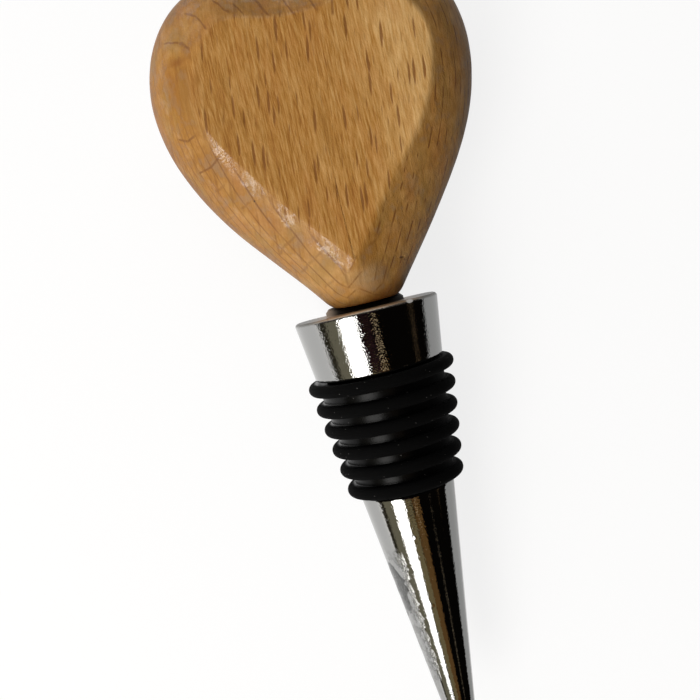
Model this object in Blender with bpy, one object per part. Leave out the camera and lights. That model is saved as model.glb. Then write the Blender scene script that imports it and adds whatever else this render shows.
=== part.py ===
# Bottle stopper: a heart-shaped beech handle on a tapered, chrome-plated metal body
# with a ribbed rubber sleeve. It lies on the heart's flat back and on its widest rib.
import math

import bmesh
import bpy
from mathutils import Matrix, Vector
from mathutils.geometry import interpolate_bezier

MM = 0.001

# Clearance between pieces that touch
FIT_GAP = 0.3 * MM

# Metal body. Depths run down the axis from the collar's top face.
COLLAR_DIAMETER = 21.6 * MM
COLLAR_DEPTH = 8.9 * MM
COLLAR_EDGE_RADIUS = 0.5 * MM
BODY_LENGTH = 65.0 * MM
TAPER_ANGLE = math.radians(7.6)
BOSS_DIAMETER = 12.7 * MM
BOSS_HEIGHT = 1.0 * MM
BOSS_EDGE = 0.35 * MM

# Rubber sleeve, seated in the groove below the collar
SLEEVE_WALL = 1.2 * MM
RIB_COUNT = 6
RIB_PITCH = 3.2 * MM
RIB_THICKNESS = 1.85 * MM
RIB_PROJECTION = 1.56 * MM

# Stud that joins the wood to the metal
STUD_DIAMETER = 6.0 * MM
STUD_IN_BODY = 14.0 * MM
STUD_IN_WOOD = 26.0 * MM
STUD_CHAMFER = 0.8 * MM
DRILL_POINT_ANGLE = math.radians(59.0)

# Heart, measured up from the flat seat at its tip
HEART_WIDTH = 45.9 * MM
HEART_THICKNESS = 22.0 * MM
SHOULDER_HEIGHT = 32.9 * MM
LOBE_HEIGHT = 48.3 * MM
LOBE_SPACING = 21.5 * MM
CLEFT_DEPTH = 2.2 * MM
SEAT_WIDTH = 10.0 * MM
FLANK_ANGLE = math.radians(36.0)

# Rolled-over rim between the heart's side and its inset flat faces
RIM_WIDTH = 7.0 * MM
SIDE_BAND = 5.0 * MM
RIM_CREASE_ANGLE = math.radians(27.0)
FACE_TIP_RADIUS = 0.4 * MM
SHARP_EDGE_ANGLE = math.radians(21.6)

# Handle lengths of the outline's and the rim's curves, as shares of each curve's chord
FLANK_PULLS = (0.30, 0.36)
SHOULDER_PULLS = (0.44, 0.32)
CLEFT_PULLS = (0.50, 0.42)
RIM_PULLS = (0.32, 0.38)

# Mesh fineness
TURN_STEPS = 64
RIB_ARC_STEPS = 6
EDGE_ARC_STEPS = 4
TIP_ARC_STEPS = 6
FLANK_STEPS = 18
SHOULDER_STEPS = 16
CLEFT_STEPS = 9
RIM_STEPS = 8
WELD_DISTANCE = 0.00001

SLEEVE_LENGTH = (RIB_COUNT - 1) * RIB_PITCH + RIB_THICKNESS
SLEEVE_TOP = COLLAR_DEPTH + FIT_GAP
GROOVE_END = SLEEVE_TOP + SLEEVE_LENGTH + FIT_GAP
HOLE_RADIUS = STUD_DIAMETER / 2 + FIT_GAP
SEAT_LEVEL = BOSS_HEIGHT + FIT_GAP


def remove_scene_objects():
    for obj in list(bpy.data.objects):
        bpy.data.objects.remove(obj, do_unlink=True)


def make_material(name, colour, roughness, metallic):
    material = bpy.data.materials.new(name)
    material.use_nodes = True
    shader = material.node_tree.nodes["Principled BSDF"]
    shader.inputs["Base Color"].default_value = (*colour, 1.0)
    shader.inputs["Roughness"].default_value = roughness
    shader.inputs["Metallic"].default_value = metallic
    return material


def link_object(name, mesh, parent, material=None):
    obj = bpy.data.objects.new(name, mesh)
    bpy.context.scene.collection.objects.link(obj)
    obj.parent = parent
    if material:
        mesh.materials.append(material)
    return obj


def arc(centre, radius, start, end, steps):
    # Points of an arc in the radius-height plane, with both ends
    angles = [start + (end - start) * i / steps for i in range(steps + 1)]
    return [(centre[0] + radius * math.cos(a), centre[1] + radius * math.sin(a)) for a in angles]


def bezier(start, start_handle, end_handle, end, steps):
    # Points of a plane curve, with both ends
    points = interpolate_bezier(
        Vector((*start, 0)), Vector((*start_handle, 0)), Vector((*end_handle, 0)), Vector((*end, 0)), steps + 1
    )
    return [(p.x, p.y) for p in points]


def eased(start, start_way, end, end_way, pulls, steps):
    # A curve that leaves its start and reaches its end along the two given ways
    chord = math.dist(start, end)
    start_handle = [start[i] + start_way[i] * pulls[0] * chord for i in range(2)]
    end_handle = [end[i] - end_way[i] * pulls[1] * chord for i in range(2)]
    return bezier(start, start_handle, end_handle, end, steps)


def turned(name, profile, parent, material):
    # A profile of (radius, height) points, run down its outer side, turned about the axis
    mesh = bpy.data.meshes.new(name)
    edges = [(i, i + 1) for i in range(len(profile) - 1)]
    mesh.from_pydata([(radius, 0, height) for radius, height in profile], edges, [])
    obj = link_object(name, mesh, parent, material)
    screw = obj.modifiers.new("Turn", "SCREW")
    screw.axis = "Z"
    screw.angle = math.tau
    screw.steps = TURN_STEPS
    screw.render_steps = TURN_STEPS
    screw.use_merge_vertices = True
    screw.merge_threshold = WELD_DISTANCE
    screw.use_smooth_shade = True
    return obj


def cone_radius(depth):
    # The straight taper that the collar, the sleeve's valleys and the point share
    return COLLAR_DIAMETER / 2 - depth * math.tan(TAPER_ANGLE)


def blind_hole(mouth_height, bottom_height):
    # The bored hole's profile, from its drill point up to its mouth
    drill_point = HOLE_RADIUS / math.tan(DRILL_POINT_ANGLE)
    return [(0, bottom_height - drill_point), (HOLE_RADIUS, bottom_height), (HOLE_RADIUS, mouth_height)]


def point_profile():
    # The taper's rounded end: an arc tangent to the taper and closed on the axis
    radius = cone_radius(BODY_LENGTH) / (1 / math.cos(TAPER_ANGLE) - math.tan(TAPER_ANGLE))
    centre = (0, -BODY_LENGTH + radius)
    return arc(centre, radius, -TAPER_ANGLE, -math.pi / 2, TIP_ARC_STEPS)


def build_body(parent):
    floor_offset = SLEEVE_WALL + FIT_GAP
    edge_inset = COLLAR_EDGE_RADIUS / math.cos(TAPER_ANGLE)
    edge_centre = (cone_radius(COLLAR_EDGE_RADIUS) - edge_inset, -COLLAR_EDGE_RADIUS)
    boss_radius = BOSS_DIAMETER / 2
    profile = blind_hole(BOSS_HEIGHT, -STUD_IN_BODY - FIT_GAP)
    profile += [(boss_radius - BOSS_EDGE, BOSS_HEIGHT), (boss_radius, BOSS_HEIGHT - BOSS_EDGE), (boss_radius, 0)]
    profile += arc(edge_centre, COLLAR_EDGE_RADIUS, math.pi / 2, -TAPER_ANGLE, EDGE_ARC_STEPS)
    profile += [(cone_radius(COLLAR_DEPTH), -COLLAR_DEPTH)]
    profile += [(cone_radius(COLLAR_DEPTH) - floor_offset, -COLLAR_DEPTH)]
    profile += [(cone_radius(GROOVE_END) - floor_offset, -GROOVE_END)]
    profile += [(cone_radius(GROOVE_END), -GROOVE_END)]
    profile += point_profile()
    chrome = make_material("chrome_plate", (0.80, 0.80, 0.80), 0.12, 1.0)
    return turned("stopper_body", profile, parent, chrome)


def rib_profile(depth):
    # One rib: straight flanks from the taper and a full round at its edge
    half = RIB_THICKNESS / 2
    centre = (cone_radius(depth) + RIB_PROJECTION - half, -depth)
    upper_root = (cone_radius(depth - half), half - depth)
    lower_root = (cone_radius(depth + half), -half - depth)
    return [upper_root] + arc(centre, half, math.pi / 2, -math.pi / 2, RIB_ARC_STEPS) + [lower_root]


def build_sleeve(parent):
    bottom = SLEEVE_TOP + SLEEVE_LENGTH
    profile = [(cone_radius(SLEEVE_TOP) - SLEEVE_WALL, -SLEEVE_TOP)]
    for rib in range(RIB_COUNT):
        profile += rib_profile(SLEEVE_TOP + RIB_THICKNESS / 2 + rib * RIB_PITCH)
    profile += [(cone_radius(bottom) - SLEEVE_WALL, -bottom)]
    profile += [profile[0]]
    rubber = make_material("black_rubber", (0.012, 0.012, 0.013), 0.45, 0.0)
    return turned("sealing_sleeve", profile, parent, rubber)


def build_stud(parent):
    radius = STUD_DIAMETER / 2
    low = -STUD_IN_BODY
    high = SEAT_LEVEL + STUD_IN_WOOD
    profile = [(0, high), (radius - STUD_CHAMFER, high), (radius, high - STUD_CHAMFER)]
    profile += [(radius, low + STUD_CHAMFER), (radius - STUD_CHAMFER, low), (0, low)]
    steel = make_material("zinc_plated_steel", (0.55, 0.55, 0.56), 0.3, 1.0)
    return turned("threaded_stud", profile, parent, steel)


def heart_outline():
    # Half of the heart's outline, from its rounded tip along one flank to the cleft.
    # Each entry is a point and the unit normal that points into the wood.
    tip_radius = RIM_WIDTH + FACE_TIP_RADIUS
    tip_centre = (0, math.sqrt(tip_radius**2 - (SEAT_WIDTH / 2) ** 2))
    tip = arc(tip_centre, tip_radius, -math.pi / 2, -FLANK_ANGLE, TIP_ARC_STEPS)
    flank = tip[-1]
    shoulder = (HEART_WIDTH / 2, SHOULDER_HEIGHT)
    lobe = (LOBE_SPACING / 2, LOBE_HEIGHT)
    cleft = (0, LOBE_HEIGHT - CLEFT_DEPTH)
    along_flank = (math.sin(FLANK_ANGLE), math.cos(FLANK_ANGLE))

    points = tip[:-1]
    points += eased(flank, along_flank, shoulder, (0, 1), FLANK_PULLS, FLANK_STEPS)[:-1]
    points += eased(shoulder, (0, 1), lobe, (-1, 0), SHOULDER_PULLS, SHOULDER_STEPS)[:-1]
    points += eased(lobe, (-1, 0), cleft, (-1, 0), CLEFT_PULLS, CLEFT_STEPS)

    normals = []
    for i in range(len(points)):
        before = Vector(points[max(i - 1, 0)])
        after = Vector(points[min(i + 1, len(points) - 1)])
        along = (after - before).normalized()
        normals.append(Vector((-along.y, along.x)))
    normals[0] = Vector((0, 1))
    normals[-1] = Vector((0, -1))
    return points, normals


def rim_section():
    # The rim as (inset from the outline, height above the middle plane) points
    foot = (0, SIDE_BAND / 2)
    crease = (RIM_WIDTH, HEART_THICKNESS / 2)
    rise = (math.cos(RIM_CREASE_ANGLE), math.sin(RIM_CREASE_ANGLE))
    return [(0, 0)] + eased(foot, (0, 1), crease, rise, RIM_PULLS, RIM_STEPS)


def heart_quarter():
    # One quarter of the heart's skin, to be mirrored across the middle planes.
    # The heart's thickness runs along Y and its front faces -Y.
    points, normals = heart_outline()
    section = rim_section()
    skin = bmesh.new()
    rings = []
    for inset, height in section:
        spots = [Vector(p) + n * inset for p, n in zip(points, normals)]
        rings.append([skin.verts.new((s.x, -height, s.y)) for s in spots])
    for outer, inner in zip(rings, rings[1:]):
        for i in range(len(outer) - 1):
            skin.faces.new((outer[i], outer[i + 1], inner[i + 1], inner[i]))
    skin.faces.new(rings[-1])
    bmesh.ops.translate(skin, verts=skin.verts, vec=(0, 0, SEAT_LEVEL))
    mesh = bpy.data.meshes.new("heart_handle")
    skin.to_mesh(mesh)
    skin.free()
    return mesh


def as_cutter(obj):
    obj.hide_render = True
    obj.display_type = "WIRE"
    return obj


def seat_cutter(parent):
    # Takes off the rounded tip below the flat seat
    size = HEART_THICKNESS * 2
    block = bmesh.new()
    bmesh.ops.create_cube(block, size=size, matrix=Matrix.Translation((0, 0, SEAT_LEVEL - size / 2)))
    mesh = bpy.data.meshes.new("seat_cutter")
    block.to_mesh(mesh)
    block.free()
    return as_cutter(link_object("seat_cutter", mesh, parent))


def stud_hole_cutter(parent):
    hole_top = SEAT_LEVEL + STUD_IN_WOOD + FIT_GAP
    drill_point = HOLE_RADIUS / math.tan(DRILL_POINT_ANGLE)
    below = SEAT_LEVEL - HOLE_RADIUS
    profile = [(0, hole_top + drill_point), (HOLE_RADIUS, hole_top), (HOLE_RADIUS, below), (0, below)]
    return as_cutter(turned("stud_hole_cutter", profile, parent, None))


def add_cut(obj, cutter):
    cut = obj.modifiers.new(cutter.name, "BOOLEAN")
    cut.operation = "DIFFERENCE"
    cut.solver = "EXACT"
    cut.object = cutter


def build_heart(parent):
    beech = make_material("beech", (0.47, 0.23, 0.07), 0.5, 0.0)
    heart = link_object("heart_handle", heart_quarter(), parent, beech)
    mirror = heart.modifiers.new("Four quarters", "MIRROR")
    mirror.use_axis = (True, True, False)
    mirror.use_clip = True
    mirror.merge_threshold = WELD_DISTANCE
    add_cut(heart, seat_cutter(parent))
    add_cut(heart, stud_hole_cutter(parent))
    heart.data.shade_smooth()
    heart.data.set_sharp_from_angle(angle=SHARP_EDGE_ANGLE)
    return heart


def lay_down_frame():
    # The stopper's own axis points up through the heart. Laid on its back, that axis
    # runs along +Y and the heart's front looks up, with the back face at zero height.
    frame = bpy.data.objects.new("stopper", None)
    bpy.context.scene.collection.objects.link(frame)
    top = SEAT_LEVEL + LOBE_HEIGHT
    frame.rotation_euler = (-math.pi / 2, 0, 0)
    frame.location = (0, (BODY_LENGTH - top) / 2, HEART_THICKNESS / 2)
    return frame


def build_stopper():
    remove_scene_objects()
    frame = lay_down_frame()
    build_body(frame)
    build_sleeve(frame)
    build_stud(frame)
    build_heart(frame)


build_stopper()
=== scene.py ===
import math

import bpy
import numpy as np
from mathutils import Matrix, Vector


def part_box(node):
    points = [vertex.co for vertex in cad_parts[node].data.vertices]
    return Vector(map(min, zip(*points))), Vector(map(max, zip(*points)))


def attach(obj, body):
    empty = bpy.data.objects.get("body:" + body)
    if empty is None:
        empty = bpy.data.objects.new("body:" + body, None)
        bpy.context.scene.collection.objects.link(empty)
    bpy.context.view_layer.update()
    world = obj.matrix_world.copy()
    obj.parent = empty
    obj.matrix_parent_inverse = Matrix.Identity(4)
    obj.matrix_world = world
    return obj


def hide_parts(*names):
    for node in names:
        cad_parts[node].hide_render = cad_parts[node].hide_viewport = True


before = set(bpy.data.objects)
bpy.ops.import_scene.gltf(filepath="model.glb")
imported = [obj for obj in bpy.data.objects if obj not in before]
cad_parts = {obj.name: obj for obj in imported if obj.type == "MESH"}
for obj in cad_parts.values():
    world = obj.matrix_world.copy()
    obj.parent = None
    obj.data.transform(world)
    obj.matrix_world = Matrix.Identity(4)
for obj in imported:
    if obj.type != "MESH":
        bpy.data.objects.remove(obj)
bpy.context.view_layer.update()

mm = 0.001


# Places read from the frame

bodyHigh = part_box("stopper_body")[1]
heartLow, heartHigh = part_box("heart_handle")
bossHeight = 1.0 * mm
collarY = bodyHigh.y - bossHeight          # the collar's top face
seatY = heartLow.y                         # the sawn seat at the heart's tip
middleZ = (heartLow.z + heartHigh.z) / 2   # the stopper's axis above the floor
halfThick = (heartHigh.z - heartLow.z) / 2
collarPlace = (0, collarY, middleZ)


# Mesh helpers

def gridFaces(rows, columns, wrapRows, wrapColumns):
    # quads between neighbours of a rows x columns grid, as vertex numbers
    i = np.arange(rows if wrapRows else rows - 1)[:, None]
    j = np.arange(columns if wrapColumns else columns - 1)[None, :]
    nextI, nextJ = (i + 1) % rows, (j + 1) % columns
    corners = [i * columns + j, i * columns + nextJ, nextI * columns + nextJ, nextI * columns + j]
    return np.stack([c.ravel() for c in np.broadcast_arrays(*corners)], 1)


def poleFaces(pole, ring, flip):
    # triangles from one pole vertex to a closed ring
    after = np.roll(ring, -1)
    return np.stack([np.full_like(ring, pole), after if flip else ring, ring if flip else after], 1)


def closedVolume(points, triangles):
    # a sixth of the sum of a . (b x c) over the triangles
    a, b, c = (points[triangles[:, k]] for k in range(3))
    return np.einsum("ij,ij->i", a, np.cross(b, c)).sum() / 6


def meshObject(name, points, faces):
    mesh = bpy.data.meshes.new(name)
    mesh.from_pydata(points, [], faces)
    obj = bpy.data.objects.new(name, mesh)
    bpy.context.scene.collection.objects.link(obj)
    return obj


def surfaceObject(name, points, wrapRows=False, poles=None):
    # points is a rows x columns x 3 grid whose columns run round and close;
    # poles are the two points that close its first and last row
    rows, columns = points.shape[:2]
    flat = points.reshape(-1, 3)
    quads = gridFaces(rows, columns, wrapRows, True)
    triangles = np.concatenate([quads[:, [0, 1, 2]], quads[:, [0, 2, 3]]])
    fans = []
    if poles is not None:
        first, last = np.arange(columns), np.arange(columns) + (rows - 1) * columns
        fans = [poleFaces(len(flat), first, True), poleFaces(len(flat) + 1, last, False)]
        flat = np.concatenate([flat, np.array(poles, float)])
        triangles = np.concatenate([triangles] + fans)
    if closedVolume(flat, triangles) < 0:
        quads = quads[:, ::-1]
        fans = [fan[:, ::-1] for fan in fans]
    faces = quads.tolist() + [face for fan in fans for face in fan.tolist()]
    obj = meshObject(name, flat.tolist(), faces)
    obj.data.shade_smooth()
    return obj


def turnedPoints(profile, sides):
    # a profile of (radius, y) turned about the stopper's axis:
    # x = r sin a, z = axis height + r cos a
    angle = np.linspace(0, math.tau, sides, endpoint=False)
    r, y = profile[:, 0][:, None], profile[:, 1][:, None]
    return np.stack([r * np.sin(angle), y + 0 * angle, middleZ + r * np.cos(angle)], 2)


def turnedObject(name, profile, sides, wrapRows=False, bend=None):
    # a closed turned piece; unless its rows wrap, its profile starts and ends on the axis;
    # bend is a function that moves the turned points a little
    profile = np.array(profile, float)
    if wrapRows:
        return surfaceObject(name, turnedPoints(profile, sides), wrapRows=True)
    ends = [(0, profile[k, 1], middleZ) for k in (0, -1)]
    points = turnedPoints(profile[1:-1], sides)
    return surfaceObject(name, bend(points) if bend else points, poles=ends)


def arcPoints(centre, radius, startAngle, endAngle, steps):
    # centre + radius (cos a, sin a), with both ends
    a = np.linspace(startAngle, endAngle, steps + 1)
    return np.stack([centre[0] + radius * np.cos(a), centre[1] + radius * np.sin(a)], 1)


def easedCurve(start, startWay, end, endWay, pulls, steps):
    # a cubic Bezier that leaves start and reaches end along the given ways;
    # each handle's length is its pull times the chord
    start, startWay, end, endWay = (np.array(v, float) for v in (start, startWay, end, endWay))
    chord = np.linalg.norm(end - start)
    p1, p2 = start + startWay * pulls[0] * chord, end - endWay * pulls[1] * chord
    t = np.linspace(0, 1, steps + 1)[:, None]
    return (1 - t) ** 3 * start + 3 * t * (1 - t) ** 2 * p1 + 3 * t * t * (1 - t) * p2 + t ** 3 * end


def roundedCorners(points, radius, spacing):
    # the polyline resampled evenly by length and averaged over about 2 x radius,
    # so its corners come out round and its straight runs stay
    points = np.array(points, float)
    length = np.concatenate([[0], np.cumsum(np.linalg.norm(np.diff(points, axis=0), axis=1))])
    s = np.linspace(0, length[-1], max(int(length[-1] / spacing), 8))
    even = np.stack([np.interp(s, length, points[:, k]) for k in range(2)], 1)
    reach = max(int(radius / spacing), 1)
    weights = np.hanning(2 * reach + 3)[1:-1]
    weights /= weights.sum()
    before, after = 2 * even[0] - even[reach:0:-1], 2 * even[-1] - even[-2:-reach - 2:-1]
    padded = np.concatenate([before, even, after])
    return np.stack([np.convolve(padded[:, k], weights, "valid") for k in range(2)], 1)


def smoothStep(x, low, high):
    # 0 below low and 1 above high: 3 t^2 - 2 t^3 between
    t = np.clip((x - low) / (high - low), 0, 1)
    return t * t * (3 - 2 * t)


# Shader helpers

class Number:
    # a number socket whose operators add Math nodes
    def __init__(self, tree, socket):
        self.tree = tree
        self.socket = socket

    def math(self, operation, a, b=None):
        values = {0: a} if b is None else {0: a, 1: b}
        made = self.tree.node("ShaderNodeMath", {"operation": operation}, values)
        return Number(self.tree, made.outputs[0])

    def __add__(self, other):
        return self.math("ADD", self, other)

    def __sub__(self, other):
        return self.math("SUBTRACT", self, other)

    def __rsub__(self, other):
        return self.math("SUBTRACT", other, self)

    def __mul__(self, other):
        return self.math("MULTIPLY", self, other)

    def __truediv__(self, other):
        return self.math("DIVIDE", self, other)

    def __pow__(self, other):
        return self.math("POWER", self, other)

    __radd__ = __add__
    __rmul__ = __mul__

    def absolute(self):
        return self.math("ABSOLUTE", self)

    def fraction(self):
        return self.math("FRACT", self)

    def atLeast(self, other):
        return self.math("MAXIMUM", self, other)


class Shading:
    # a node tree and the ways to add to it
    def __init__(self, tree):
        self.tree = tree

    def node(self, kind, settings, values):
        made = self.tree.nodes.new(kind)
        for name, value in settings.items():
            if name == "stops":
                self.setStops(made.color_ramp, value)
            else:
                setattr(made, name, value)
        for key, value in values.items():
            self.feed(made.inputs[key], value)
        return made

    def setStops(self, ramp, stops):
        while len(ramp.elements) < len(stops):
            ramp.elements.new(0.5)
        for element, (position, colour) in zip(ramp.elements, stops):
            element.position = position
            element.color = (*colour, 1)

    def feed(self, socket, value):
        if isinstance(value, Number):
            value = value.socket
        if isinstance(value, bpy.types.NodeSocket):
            self.tree.links.new(value, socket)
        elif isinstance(value, tuple) and socket.type == "RGBA" and len(value) == 3:
            socket.default_value = (*value, 1)
        else:
            socket.default_value = value

    def vectorMath(self, operation, *values):
        return self.node("ShaderNodeVectorMath", {"operation": operation}, dict(enumerate(values)))

    def axes(self, vector):
        parts = self.node("ShaderNodeSeparateXYZ", {}, {0: vector})
        return [Number(self, parts.outputs[k]) for k in range(3)]

    def join(self, x, y, z):
        return self.node("ShaderNodeCombineXYZ", {}, {0: x, 1: y, 2: z}).outputs[0]

    def noise(self, vector, detail=2.0, roughness=0.5):
        values = {"Vector": vector, "Scale": 1.0, "Detail": detail, "Roughness": roughness}
        return Number(self, self.node("ShaderNodeTexNoise", {}, values).outputs[0])

    def cells(self, vector, dimensions="2D"):
        # (distance to the nearest cell's point, that cell's random number)
        settings = {"voronoi_dimensions": dimensions}
        made = self.node("ShaderNodeTexVoronoi", settings, {"Vector": vector, "Scale": 1.0})
        chance = self.node("ShaderNodeSeparateColor", {}, {0: made.outputs["Color"]})
        return Number(self, made.outputs["Distance"]), Number(self, chance.outputs[0])

    def step(self, value, low, high):
        # 0 below low and 1 above high, smooth between; high may be the lower one
        ends = (1.0, 0.0) if high < low else (0.0, 1.0)
        values = {0: value, 1: min(low, high), 2: max(low, high), 3: ends[0], 4: ends[1]}
        made = self.node("ShaderNodeMapRange", {"interpolation_type": "SMOOTHSTEP"}, values)
        return Number(self, made.outputs[0])

    def mix(self, factor, a, b):
        settings = {"data_type": "RGBA", "clamp_factor": True}
        return self.node("ShaderNodeMix", settings, {0: factor, 6: a, 7: b}).outputs[2]

    def mixNumber(self, factor, a, b):
        made = self.node("ShaderNodeMix", {"data_type": "FLOAT"}, {0: factor, 2: a, 3: b})
        return Number(self, made.outputs[0])


class Finish(Shading):
    # one material; its patterns are laid out from centre, a place in metres
    def __init__(self, name, centre=(0, 0, 0)):
        self.material = bpy.data.materials.new(name)
        self.material.use_nodes = True
        super().__init__(self.material.node_tree)
        self.shader = self.tree.nodes["Principled BSDF"]
        self.objectSocket = self.node("ShaderNodeTexCoord", {}, {}).outputs["Object"]
        self.centre = centre

    def place(self, scale=(1, 1, 1), turn=(0, 0, 0), start=(0, 0, 0)):
        # object coordinates in millimetres, turned, then stretched by scale;
        # they begin at start, in millimetres from the finish's centre
        begin = tuple(c + p * mm for c, p in zip(self.centre, start))
        inMm = tuple(s / mm for s in scale)
        moved = self.vectorMath("SUBTRACT", self.objectSocket, begin)
        turned = self.node("ShaderNodeMapping", {}, {"Vector": moved.outputs[0], "Rotation": turn})
        return self.vectorMath("MULTIPLY", turned.outputs[0], inMm).outputs[0]

    def noiseAt(self, scale, turn=(0, 0, 0), detail=2.0, roughness=0.5):
        # noise with scale features per millimetre along X, Y and Z
        return self.noise(self.place(scale, turn), detail, roughness)

    def spot(self, start, size):
        # 1 at start, falling to 0 over size in millimetres along X, Y and Z
        near = self.place(tuple(1 / s for s in size), start=start)
        reach = self.vectorMath("LENGTH", near).outputs["Value"]
        return self.step(Number(self, reach), 1.0, 0.0)

    def bump(self, height):
        # height is in metres
        values = {"Strength": 1.0, "Distance": 1.0, "Height": height}
        return self.node("ShaderNodeBump", {}, values).outputs[0]

    def surface(self, **values):
        for name, value in values.items():
            self.feed(self.shader.inputs[name.replace("_", " ")], value)
        return self.material


def dressPiece(obj, material, node):
    # a finished piece takes its material and stands in for its node
    obj.data.materials.append(material)
    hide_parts(node)
    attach(obj, "root")


# Heart

heartSizes = {
    "width": 45.9, "shoulderHeight": 32.9, "lobeHeight": 48.3, "lobeSpacing": 21.5, "cleftDepth": 2.2,
    "seatWidth": 10.0, "flankAngle": 36.0, "rimWidth": 7.0, "faceTipRadius": 0.4, "sideBand": 5.0,
    "crispAngle": 32.0, "crispCrease": 0.6, "softAngle": 19.0, "softCrease": 2.6, "seatEdge": 0.22,
    "tipLift": (-0.4, 1.15), "tipShift": 0.35, "seatDrop": 0.27, "handUnevenness": 0.05,
    # the reach of each curve's two handles, as shares of its chord
    "flankPulls": (0.30, 0.36), "crownPulls": (0.44, 0.32), "dipPulls": (0.50, 0.42),
    "rimPulls": (0.32, 0.38),
    # heights over which the tip's lift and shift fade, and where the crease turns from soft to crisp
    "liftFade": (9, 24), "shiftFade": (3, 16), "softToRight": (-9, 5), "softToTop": (41, 47),
    "faceMiddle": 27.0, "faceStep": 0.28, "sectionSpacing": 0.04,
    # the hand-sanded rim's width at shares of the way round from the tip, up the right side,
    # averaged over one part in rimEasing of the way
    "rimPlaces": (0.0, 0.095, 0.12, 0.165, 0.19, 0.24, 0.30, 0.35, 0.45, 0.50, 0.56, 0.63, 0.66, 0.69, 0.74,
                  0.78, 0.82, 0.86, 0.91, 1.0),
    "rimWidths": (7.0, 7.0, 7.35, 7.4, 7.1, 6.7, 6.2, 6.8, 6.6, 5.8, 6.8, 7.5, 7.05, 6.9, 6.35,
                  6.8, 7.4, 7.2, 6.85, 7.0),
    "roundSteps": 420, "rimSpacing": 0.22, "faceRings": 26, "rimEasing": 20,
    "holeRadius": 3.3, "holeDepth": 26.3, "holeSides": 48,
}


def heartRing(sizes):
    # the closed outline from the tip up the right flank, over the lobes and back:
    # a tip arc and three eased curves, mirrored, sampled evenly by length
    s = sizes
    tipRadius = s["rimWidth"] + s["faceTipRadius"]
    tipCentre = (0, math.sqrt(tipRadius ** 2 - (s["seatWidth"] / 2) ** 2))
    lean = math.radians(s["flankAngle"])
    tip = arcPoints(tipCentre, tipRadius, -math.pi / 2, -lean, 24)
    shoulder = (s["width"] / 2, s["shoulderHeight"])
    lobe = (s["lobeSpacing"] / 2, s["lobeHeight"])
    cleft = (0, s["lobeHeight"] - s["cleftDepth"])
    flank = easedCurve(tip[-1], (math.sin(lean), math.cos(lean)), shoulder, (0, 1), s["flankPulls"], 80)
    crown = easedCurve(shoulder, (0, 1), lobe, (-1, 0), s["crownPulls"], 60)
    dip = easedCurve(lobe, (-1, 0), cleft, (-1, 0), s["dipPulls"], 40)
    half = np.concatenate([tip[:-1], flank[:-1], crown[:-1], dip])
    loop = np.concatenate([half, half[-2:0:-1] * (-1, 1)])
    closed = np.concatenate([loop, loop[:1]])
    length = np.concatenate([[0], np.cumsum(np.linalg.norm(np.diff(closed, axis=0), axis=1))])
    at = np.linspace(0, length[-1], s["roundSteps"], endpoint=False)
    ring = np.stack([np.interp(at, length, closed[:, k]) for k in range(2)], 1)
    along = np.roll(ring, -1, 0) - np.roll(ring, 1, 0)
    along /= np.linalg.norm(along, axis=1)[:, None]
    return ring, np.stack([-along[:, 1], along[:, 0]], 1)


def creaseRing(ring, inward, sizes):
    # the edge of the flat face: the outline set in by the rim's width, which changes
    # smoothly round the heart, with the face's tip lifted and leaning to the left
    count = len(ring)
    share = np.arange(-count, 2 * count) / count % 1.0
    width = np.interp(share, sizes["rimPlaces"], sizes["rimWidths"])
    weights = np.hanning(count // sizes["rimEasing"])
    width = np.convolve(width, weights / weights.sum(), "same")[count:2 * count]
    inner = ring + inward * width[:, None]
    lift = 1 - smoothStep(inner[:, 1], *sizes["liftFade"])
    return inner + np.array(sizes["tipLift"]) * lift[:, None]


def rimSection(sizes, angle, roundness):
    # rows of (share of the way from outline to crease, height above the middle plane)
    rise = math.radians(angle)
    top, spacing = halfThick / mm, sizes["sectionSpacing"]
    foot, crease = (0, sizes["sideBand"] / 2), (sizes["rimWidth"], top)
    curve = easedCurve(foot, (0, 1), crease, (math.cos(rise), math.sin(rise)), sizes["rimPulls"], 40)
    inside = sizes["rimWidth"] + sizes["faceStep"]
    rows = np.concatenate([[(0, 0)], curve, [(inside, top)]])
    rows = roundedCorners(rows, roundness, spacing)
    rows = rows[::max(int(sizes["rimSpacing"] / spacing), 1)]
    rows[0], rows[-1] = (0, 0), (inside, top)
    return rows / (sizes["rimWidth"], 1)


def handWave(x, y, z):
    # a few slow sine waves in all three directions, about -1 to 1
    wave = np.sin(0.31 * x + 0.52 * y + 1.3) + np.sin(0.73 * y - 0.45 * x + 0.6 * z)
    wave += np.sin(0.58 * x - 0.21 * y + 0.9 * z + 2.1) + 0.6 * np.sin(1.7 * x + 1.3 * y + 0.4)
    return wave / 3.6


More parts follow.
